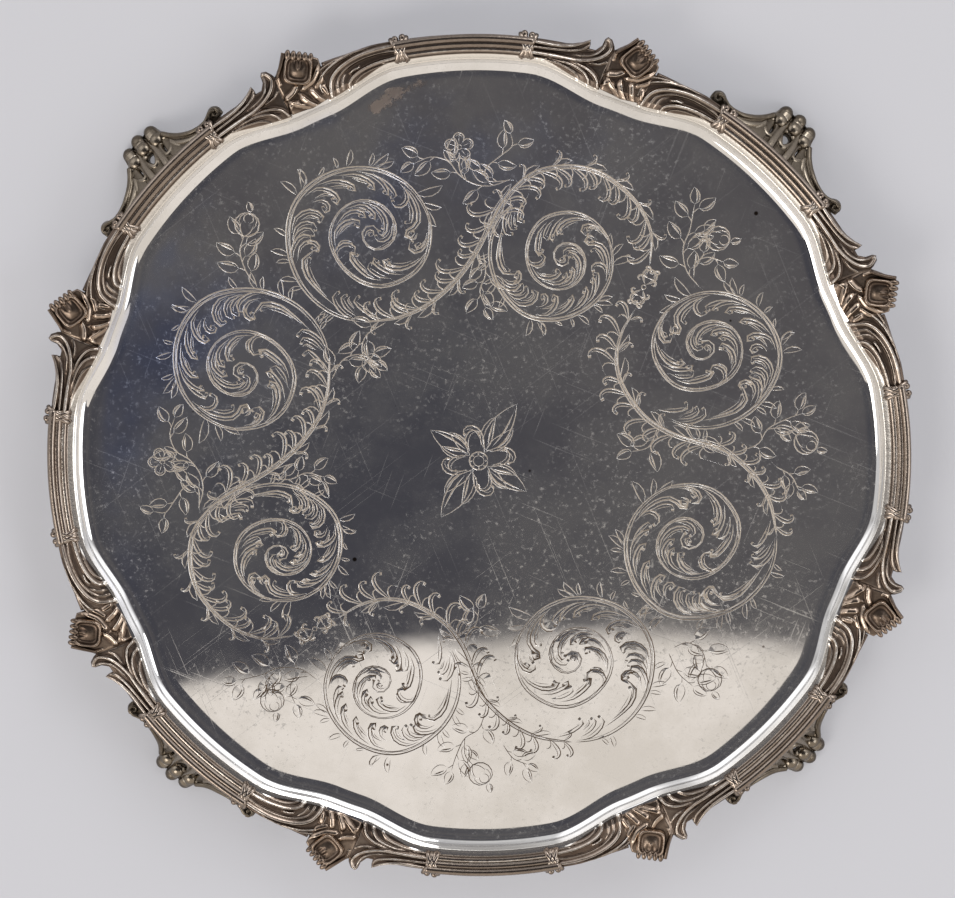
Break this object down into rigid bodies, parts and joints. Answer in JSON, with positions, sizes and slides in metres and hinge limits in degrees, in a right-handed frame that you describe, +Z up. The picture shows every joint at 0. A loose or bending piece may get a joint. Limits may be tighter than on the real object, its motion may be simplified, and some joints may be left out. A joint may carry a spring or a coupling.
{
  "type": "silver salver",
  "caption": "Round footed silver salver with a cast reed-and-shell border, scroll engraving in its shallow well and splayed cast feet",
  "frame": {"origin": "centre of the bounding box at its bottom: on the salver's axis, on the plane its feet stand on", "axes": "+Z up along the salver's axis, out of the engraved face; +X and +Y through the middles of two border sections, so the feet stand on the diagonals"},
  "size_m": [0.3526, 0.3526, 0.024],
  "materials": {
    "polished_sheet": "polished sterling silver, lightly tarnished and scratched, hand engraved",
    "cast_border": "cast and chased silver, bright on its crests and tarnished in its hollows",
    "cast_shell": "cast and chased silver, heavily tarnished in its hollows",
    "cast_foot": "cast silver, dark with tarnish under the border"
  },
  "bodies": {
    "root": {"salver_plate": "polished_sheet", "border_section_1": "cast_border", "border_section_2": "cast_border", "border_section_3": "cast_border", "border_section_4": "cast_border", "border_section_5": "cast_border", "border_section_6": "cast_border", "border_section_7": "cast_border", "border_section_8": "cast_border", "shell_1": "cast_shell", "shell_2": "cast_shell", "shell_3": "cast_shell", "shell_4": "cast_shell", "shell_5": "cast_shell", "shell_6": "cast_shell", "shell_7": "cast_shell", "shell_8": "cast_shell", "foot_1": "cast_foot", "foot_2": "cast_foot", "foot_3": "cast_foot", "foot_4": "cast_foot"}
  },
  "joints": []
}
